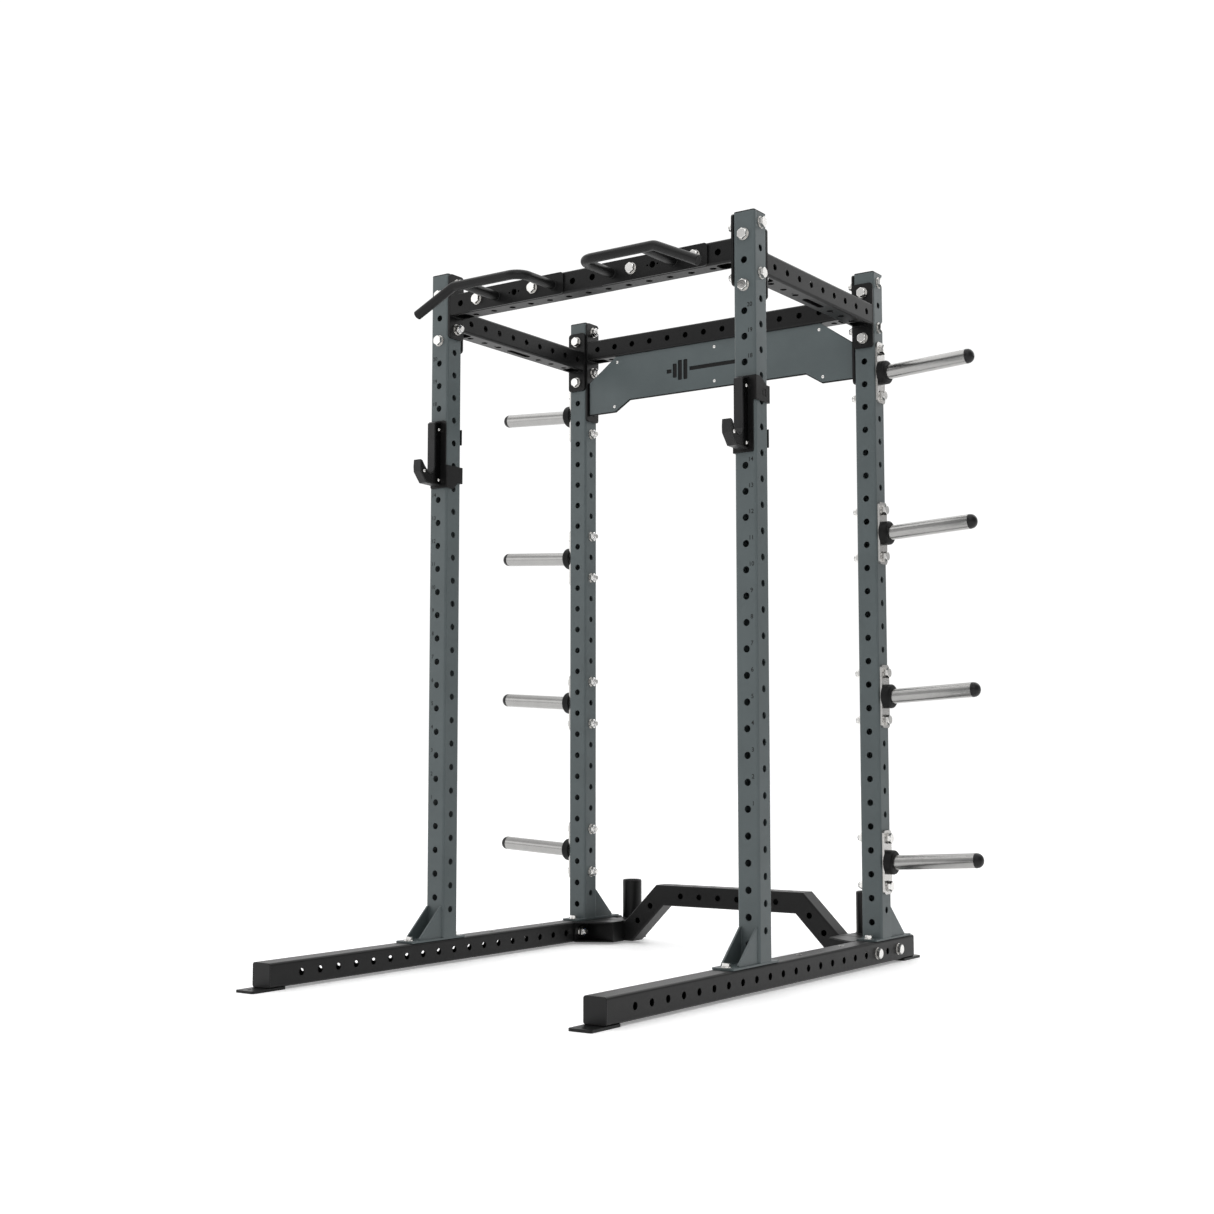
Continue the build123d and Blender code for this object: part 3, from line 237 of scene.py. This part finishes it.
def hexagon(across_flats, level, crown=0):
    """A hexagonal station. A 30 degree chamfer cuts its corners, downwards for crown 1, upwards for -1."""
    def station(angle):
        swing = (angle + math.radians(30)) % math.radians(60) - math.radians(30)
        radius = across_flats / 2 / math.cos(swing)
        cut = (radius - across_flats * CHAMFER) * crown * math.tan(math.radians(30))
        return radius, level - cut
    return station


def finish_shape(name, shape, material, body, smooth_angle=35):
    """Turns a mesh being built into a piece, smooth except at edges over an angle in degrees."""
    mesh = bpy.data.meshes.new(name)
    bmesh.ops.recalc_face_normals(shape, faces=shape.faces)
    shape.to_mesh(mesh)
    shape.free()
    mesh.polygons.foreach_set("use_smooth", [True] * len(mesh.polygons))
    mesh.set_sharp_from_angle(angle=math.radians(smooth_angle))
    return link(name, mesh, material, body)


def solids(node):
    """The separate solids of a CAD node, each as a list of points, in a fixed order."""
    copy = bmesh.new()
    copy.from_mesh(nodes[node].data)
    bmesh.ops.remove_doubles(copy, verts=copy.verts, dist=0.01 * MM)
    copy.verts.ensure_lookup_table()
    seen = set()
    found = []
    for start in copy.verts:
        if start.index in seen:
            continue
        seen.add(start.index)
        queue = [start]
        points = []
        while queue:
            vertex = queue.pop()
            points.append(vertex.co.copy())
            for edge in vertex.link_edges:
                other = edge.other_vert(vertex)
                if other.index not in seen:
                    seen.add(other.index)
                    queue.append(other)
        found.append(points)
    copy.free()
    return found


def extent(points):
    """Lowest and highest corners of a list of points."""
    low = Vector([min(p[i] for p in points) for i in range(3)])
    high = Vector([max(p[i] for p in points) for i in range(3)])
    return low, high


def bolt_axis(points):
    """Middle line of a bolt that lies along X, Y or Z: its two ends, the head's, which is wider, first."""
    low, high = extent(points)
    size = high - low
    lengthwise = max(range(3), key=lambda i: size[i])
    middle = (low + high) / 2
    ends = []
    for level in (low, high):
        end = middle.copy()
        end[lengthwise] = level[lengthwise]
        reach = max((p - end).length for p in points if abs(p[lengthwise] - level[lengthwise]) < MM)
        ends.append((reach, end))
    ends.sort(key=lambda pair: -pair[0])
    return ends[0][1], ends[1][1]


# ---------------------------------------------------------------- bolts, nuts and screws
HEX_SHARP = 20  # degrees; keeps the 30 degree chamfer of a hexagon crisp
THREAD_ROOT = 0.88  # of the crest's radius
THREAD_TIP = 0.80  # of the crest's radius
CREST = (0.35, 0.65)  # where a crest starts and ends within one pitch
WASHER_FACE = 0.3 * MM
FLANGE_SPREAD = 1.6  # reach of a flange past the washer face, for each unit of its thickness
FLANGE_EDGE = 0.4  # thickness of a flange at its edge, likewise


def thread(start, length, radius, pitch):
    """Stations of a thread's roots and crests, and of a narrower tip."""
    turns = int(length / pitch)
    stations = []
    for turn in range(turns):
        stations.append(circle(radius * THREAD_ROOT, start + turn * pitch))
        for part in CREST:
            stations.append(circle(radius, start + (turn + part) * pitch))
    stations.append(circle(radius * THREAD_TIP, start + turns * pitch))
    return stations


def hex_bolts(node, head, across_flats, radius, pitch, threaded, flange=0.0):
    """Bolts with a chamfered head over a washer face or a flange, and a threaded tail."""
    shape = bmesh.new()
    face = across_flats * CHAMFER
    rim = face + flange * FLANGE_SPREAD
    for points in solids(node):
        top, tip = bolt_axis(points)
        length = (top - tip).length
        matrix = along(top, tip - top)  # +Z runs from the head's top down the shank
        turned(shape, [
            circle(face, 0),
            hexagon(across_flats, 0, crown=-1),
            hexagon(across_flats, head - flange - 2 * WASHER_FACE),
            circle(face, head - flange - WASHER_FACE),
            circle(rim, head - flange * FLANGE_EDGE),
            circle(rim, head),
            circle(radius, head),
            circle(radius, length - threaded),
            *thread(length - threaded, threaded, radius, pitch),
        ], matrix)
    piece = finish_shape(f"{node}_turned", shape, bright_zinc, "frame", HEX_SHARP)
    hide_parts(node)


BOLT_NODES = ("beam_bolts", "grip_bolts", "peg_bolts", "foot_bolts")
BOLT_FLATS = 30 * MM
BOLT_RADIUS = 10 * MM
for bolt_node in BOLT_NODES:
    hex_bolts(bolt_node, 13 * MM, BOLT_FLATS, BOLT_RADIUS, pitch=2.5 * MM, threaded=45 * MM)
hex_bolts("base_bolts", 12.5 * MM, 24 * MM, 8 * MM, pitch=2 * MM, threaded=25 * MM, flange=3 * MM)

# Radii of a lock nut's collar and of its nylon ring, as parts of the nut's width across flats.
COLLAR_FOOT = 0.46
COLLAR_WALL = 0.455
COLLAR_SHOULDER = 0.43
COLLAR_LIP = 0.40
COLLAR_INSIDE = 0.385
RING_OUTSIDE = 0.38


def lock_nuts(node, across_flats, bore, hex_part):
    """Hexagon nuts with a rolled collar over a nylon ring, pointing away from what the nut clamps."""
    shape = bmesh.new()
    inserts = bmesh.new()
    bolts = [bolt_axis(points) for bolt_node in BOLT_NODES for points in solids(bolt_node)]
    for points in solids(node):
        low, high = extent(points)
        middle = (low + high) / 2
        head, tip = min(bolts, key=lambda ends: (ends[1] - middle).length)
        outward = (tip - head).normalized()
        thick = abs((high - low).dot(outward))
        matrix = along(middle - outward * thick / 2, outward)
        turned(shape, [
            circle(bore, 0),
            circle(across_flats * CHAMFER, 0),
            hexagon(across_flats, 0, crown=-1),
            hexagon(across_flats, hex_part, crown=1),
            circle(across_flats * COLLAR_FOOT, hex_part + 0.2 * MM),
            circle(across_flats * COLLAR_WALL, thick - 1.6 * MM),
            circle(across_flats * COLLAR_SHOULDER, thick - 0.3 * MM),
            circle(across_flats * COLLAR_LIP, thick),
            circle(across_flats * COLLAR_INSIDE, thick - 0.5 * MM),
            circle(bore, hex_part),
        ], matrix, closed=True)
        turned(inserts, [
            circle(bore - 0.2 * MM, hex_part),
            circle(across_flats * RING_OUTSIDE, hex_part),
            circle(across_flats * RING_OUTSIDE, thick - 0.7 * MM),
            circle(bore - 0.2 * MM, thick - 0.9 * MM),
        ], matrix, closed=True)
    piece = finish_shape(f"{node}_turned", shape, bright_zinc, "frame", HEX_SHARP)
    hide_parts(node)
    finish_shape(f"{node}_inserts", inserts, nylon, "frame")


lock_nuts("nuts", BOLT_FLATS, BOLT_RADIUS, hex_part=13 * MM)

DOME_STEPS = 5
DOME_START = math.radians(8)
DOME_SWEEP = math.radians(60)
DOME_TOP = 0.927  # sine of the angle where the dome ends
SOCKET_RIM = 0.62  # radius round a socket, as a part of its width across flats


def button_screws(node, body, radius, height, socket, direction=None):
    """Domed screw heads with a hexagon socket, in place of plain discs.

    They face a direction along Y, or without one each faces away from the middle of its node along X.
    """
    shape = bmesh.new()
    node_low, node_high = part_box(node)
    middle_x = (node_low.x + node_high.x) / 2
    for points in solids(node):
        low, high = extent(points)
        middle = (low + high) / 2
        if direction:
            outward = Vector(direction)
            foot = Vector((middle.x, low.y + height, middle.z))
        else:
            outward = Vector((1 if middle.x > middle_x else -1, 0, 0))
            foot = middle - outward * height / 2
        dome = []
        for step in range(DOME_STEPS + 1):
            angle = DOME_START + DOME_SWEEP * step / DOME_STEPS
            width = radius * math.cos(angle) / math.cos(DOME_START)
            dome.append(circle(width, height * math.sin(angle) / DOME_TOP))
        turned(shape, [
            circle(radius, -0.4 * MM),
            *dome,
            circle(socket * SOCKET_RIM, height * 0.99),
            hexagon(socket, height * 0.9),
            hexagon(socket, height * 0.25),
            circle(socket * 0.1, height * 0.15),
        ], along(foot, outward))
    piece = finish_shape(f"{node}_turned", shape, bright_zinc, body)
    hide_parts(node)


for side in ("left", "right"):
    button_screws(f"cup_screws_{side}", f"cup_{side}", radius=6 * MM, height=3.5 * MM, socket=4 * MM)
button_screws("panel_screws", "frame", radius=6 * MM, height=2.5 * MM, socket=4 * MM, direction=(0, -1, 0))

# ---------------------------------------------------------------- welds
BEAD_SIDES = 8
WELD_SMOOTH = 60  # degrees
RIPPLE = 5 * MM
RIPPLE_DIP = 0.82  # radius between two ripples, as a part of the bead's
SEAM_INSET = 2 * MM  # from the tube's faces to the middle line of the bead round its end
SEAM_BEAD = 3 * MM
RING_BEAD = 2.5 * MM
RING_STEPS = 24
GUSSET_X = 28 * MM
GUSSET_HALF = 3 * MM
GUSSET_BEAD = 2 * MM
GUSSET_REACH = 108 * MM
GRIP_LEGS_X = (120 * MM, 358 * MM)
GRIP_RADIUS = 16 * MM


def bead(shape, path, radius, closed=False):
    """Adds a weld bead along straight legs of a path, with the ripples of its run."""
    legs = list(zip(path, path[1:] + path[:1])) if closed else list(zip(path, path[1:]))
    for start, end in legs:
        start, end = Vector(start), Vector(end)
        run = end - start
        direction = run.normalized()
        side = direction.orthogonal().normalized()
        up = direction.cross(side)
        steps = max(2, int(run.length / RIPPLE * 2))
        rings = []
        for step in range(steps + 1):
            swell = radius * (1.0 if step % 2 else RIPPLE_DIP)
            centre = start + run * step / steps
            rings.append([
                shape.verts.new(centre + side * swell * math.cos(turn) + up * swell * math.sin(turn))
                for turn in (math.tau * k / BEAD_SIDES for k in range(BEAD_SIDES))
            ])
        for low, high in zip(rings, rings[1:]):
            for k in range(BEAD_SIDES):
                after = (k + 1) % BEAD_SIDES
                shape.faces.new((low[k], low[after], high[after], high[k]))
        shape.faces.new(list(reversed(rings[0])))
        shape.faces.new(rings[-1])


def seam_path(low, high, across, level):
    """Corners of the seam round a tube's end, at a level along the tube's axis."""
    inset = Vector((SEAM_INSET, SEAM_INSET, SEAM_INSET))
    inset[across] = 0
    low, high = low + inset, high - inset
    first, second = [i for i in range(3) if i != across]
    corners = []
    for a, b in ((low, low), (high, low), (high, high), (low, high)):
        point = Vector((0, 0, 0))
        point[first] = a[first]
        point[second] = b[second]
        point[across] = level
        corners.append(point)
    return corners


def ring_path(centre, across, radius):
    """Points of a ring across one axis."""
    first, second = [i for i in range(3) if i != across]
    points = []
    for k in range(RING_STEPS):
        point = Vector(centre)
        point[first] += radius * math.cos(math.tau * k / RING_STEPS)
        point[second] += radius * math.sin(math.tau * k / RING_STEPS)
        points.append(point)
    return points


slate_welds = bmesh.new()
black_welds = bmesh.new()
bracket_solids = [extent(points) for points in solids("base_brackets")]
for corner in ("front_left", "front_right", "rear_left", "rear_right"):
    low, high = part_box(f"upright_{corner}")
    bead(slate_welds, seam_path(low, high, 2, low.z), SEAM_BEAD, closed=True)
    centre = (low + high) / 2
    plate_low, plate_high = min(bracket_solids, key=lambda pair: ((pair[0] + pair[1]) / 2 - centre).xy.length)
    outward = 1 if plate_high.y - high.y > low.y - plate_low.y else -1
    face_y = high.y if outward > 0 else low.y
    for gusset_x in (-GUSSET_X, GUSSET_X):
        for flank in (-GUSSET_HALF, GUSSET_HALF):
            x = centre.x + gusset_x + flank
            root = (x, face_y, low.z)
            bead(slate_welds, [root, (x, face_y, plate_high.z - 1 * MM)], GUSSET_BEAD)
            bead(slate_welds, [root, (x, face_y + outward * GUSSET_REACH, low.z)], GUSSET_BEAD)
BEAM_AXES = {"front_crossbeam": 0, "rear_crossbeam": 0, "side_beam_left": 1, "side_beam_right": 1}
for beam, across in BEAM_AXES.items():
    low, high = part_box(beam)
    for level in (low[across], high[across]):
        bead(black_welds, seam_path(low, high, across, level), SEAM_BEAD, closed=True)
for side, sign in (("left", -1), ("right", 1)):
    low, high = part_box(f"bar_post_{side}")
    centre = (low + high) / 2
    bead(black_welds, ring_path((centre.x, centre.y, low.z), 2, (high.x - low.x) / 2), RING_BEAD, closed=True)
    low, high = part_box(f"grip_{side}")
    for leg_x in GRIP_LEGS_X:
        leg = (sign * leg_x, high.y, high.z - GRIP_RADIUS)
        bead(black_welds, ring_path(leg, 1, GRIP_RADIUS), RING_BEAD, closed=True)
finish_shape("slate_welds", slate_welds, slate, "frame", WELD_SMOOTH)
finish_shape("black_welds", black_welds, black, "frame", WELD_SMOOTH)

# ---------------------------------------------------------------- hole numbers
NUMBER_HEIGHT = 13 * MM
DIGIT_HEIGHT = 0.69  # of a font of size 1
NUMBER_OUT = 19 * MM
NUMBER_UP = 17 * MM
NUMBER_COUNT = 20
HOLE_PITCH = 80 * MM
FIRST_NUMBERED_Z = 542.5 * MM


def hole_numbers(corner, outward, facing):
    """Numbers beside an upright's holes, on its face towards -Y or +Y, set off to its outer side."""
    low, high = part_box(f"upright_{corner}")
    face_y = low.y if facing < 0 else high.y
    for number in range(1, NUMBER_COUNT + 1):
        curve = bpy.data.curves.new(f"number_{corner}_{number}", "FONT")
        curve.body = str(number)
        curve.size = NUMBER_HEIGHT / DIGIT_HEIGHT
        curve.align_x = "CENTER"
        curve.align_y = "CENTER"
        curve.extrude = 0.1 * MM
        curve.offset = 0.25 * MM  # heavier strokes
        curve.materials.append(ink)
        label = bpy.data.objects.new(curve.name, curve)
        label.location = (
            (low.x + high.x) / 2 + outward * NUMBER_OUT,
            face_y + facing * 0.05 * MM,
            FIRST_NUMBERED_Z + HOLE_PITCH * (number - 1) + NUMBER_UP,
        )
        label.rotation_euler = (math.pi / 2, 0, 0 if facing < 0 else math.pi)
        bpy.context.scene.collection.objects.link(label)
        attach(label, "frame")


hole_numbers("front_left", -1, -1)
hole_numbers("front_right", 1, -1)
hole_numbers("rear_left", -1, 1)
hole_numbers("rear_right", 1, 1)

# ---------------------------------------------------------------- floor, light and camera
FLOOR_HALF = 30  # metres
FLOOR_DARK = (0.95, 0.95, 0.95)
FLOOR_LIGHT = (0.97, 0.97, 0.97)
BACKDROP = 1.06  # strength, a little over white
WHITE = (1, 1, 1, 1)

floor_mesh = bpy.data.meshes.new("floor")
floor_corners = [(x * FLOOR_HALF, y * FLOOR_HALF, 0) for x, y in ((-1, -1), (1, -1), (1, 1), (-1, 1))]
floor_mesh.from_pydata(floor_corners, [], [(0, 1, 2, 3)])
floor = bpy.data.objects.new("floor", floor_mesh)
bpy.context.scene.collection.objects.link(floor)
floor_material, floor_tree, floor_shader = new_material("floor", FLOOR_LIGHT, 0.55)
tint(floor_tree, floor_shader, noise(floor_tree, 1.5), FLOOR_DARK, FLOOR_LIGHT)
distance = floor_tree.nodes.new("ShaderNodeVectorMath")
distance.operation = "LENGTH"
place = floor_tree.nodes.new("ShaderNodeTexCoord")
floor_tree.links.new(place.outputs["Object"], distance.inputs[0])
# A glow that grows from 2 m to 10 m out keeps the far floor as pale as the near floor.
glow = map_range(floor_tree, distance.outputs["Value"], (2, 10), (0.26, 0.46))
floor_tree.links.new(glow, floor_shader.inputs["Emission Strength"])
floor_shader.inputs["Emission Color"].default_value = WHITE
floor_mesh.materials.append(floor_material)

world = bpy.data.worlds.new("studio")
bpy.context.scene.world = world
world.use_nodes = True
sky = world.node_tree
background = sky.nodes["Background"]
background.inputs["Color"].default_value = WHITE
directions = sky.nodes.new("ShaderNodeTexCoord").outputs["Generated"]


def towards(axis):
    """How nearly a direction of the sky points along an axis: a dot product."""
    node = sky.nodes.new("ShaderNodeVectorMath")
    node.operation = "DOT_PRODUCT"
    node.inputs[1].default_value = axis
    sky.links.new(directions, node.inputs[0])
    return node.outputs["Value"]


# The sky is brightest low at the rear left, and dimmer at the rear right.
falloff = map_range(sky, towards((-0.62, 0.62, -0.48)), (-0.9, 0.50), (0.40, BACKDROP))
dimming = map_range(sky, towards((0.78, 0.62, 0.0)), (0.55, 0.95), (1.0, 0.42))
dimmed = sky.nodes.new("ShaderNodeMath")
dimmed.operation = "MULTIPLY"
sky.links.new(falloff, dimmed.inputs[0])
sky.links.new(dimming, dimmed.inputs[1])
# Seen directly, the backdrop is even: only the light that it throws on the object falls off.
seen = sky.nodes.new("ShaderNodeLightPath")
backdrop = sky.nodes.new("ShaderNodeMix")
backdrop.inputs["B"].default_value = BACKDROP
sky.links.new(seen.outputs["Is Camera Ray"], backdrop.inputs["Factor"])
sky.links.new(dimmed.outputs["Value"], backdrop.inputs["A"])
sky.links.new(backdrop.outputs["Result"], background.inputs["Strength"])


def area_light(name, place, target, size, power):
    """A rectangular lamp that points at a target."""
    data = bpy.data.lights.new(name, "AREA")
    data.shape = "RECTANGLE"
    data.size, data.size_y = size
    data.energy = power
    lamp = bpy.data.objects.new(name, data)
    lamp.location = place
    lamp.rotation_euler = (Vector(target) - Vector(place)).to_track_quat("-Z", "Y").to_euler()
    bpy.context.scene.collection.objects.link(lamp)


area_light("overhead", (0, -0.5, 6.0), (0, -0.5, 0), (8, 8), 170)
area_light("key", (3.5, -5.0, 5.5), (0, 0, 1.0), (4, 4), 60)
area_light("fill", (-5.0, -4.0, 3.0), (0, 0, 1.0), (4, 3), 30)
area_light("rear", (1.0, 5.0, 4.5), (0, 0, 1.2), (5, 3), 60)

camera_data = bpy.data.cameras.new("camera")
camera_data.lens = 50
camera_data.sensor_width = 36
camera = bpy.data.objects.new("camera", camera_data)
camera.location = (3.1786, -4.5328, 0.7061)
camera.rotation_euler = (math.radians(94.99), 0, math.radians(34.982))
bpy.context.scene.collection.objects.link(camera)
bpy.context.scene.camera = camera
bpy.context.scene.view_settings.view_transform = "Standard"
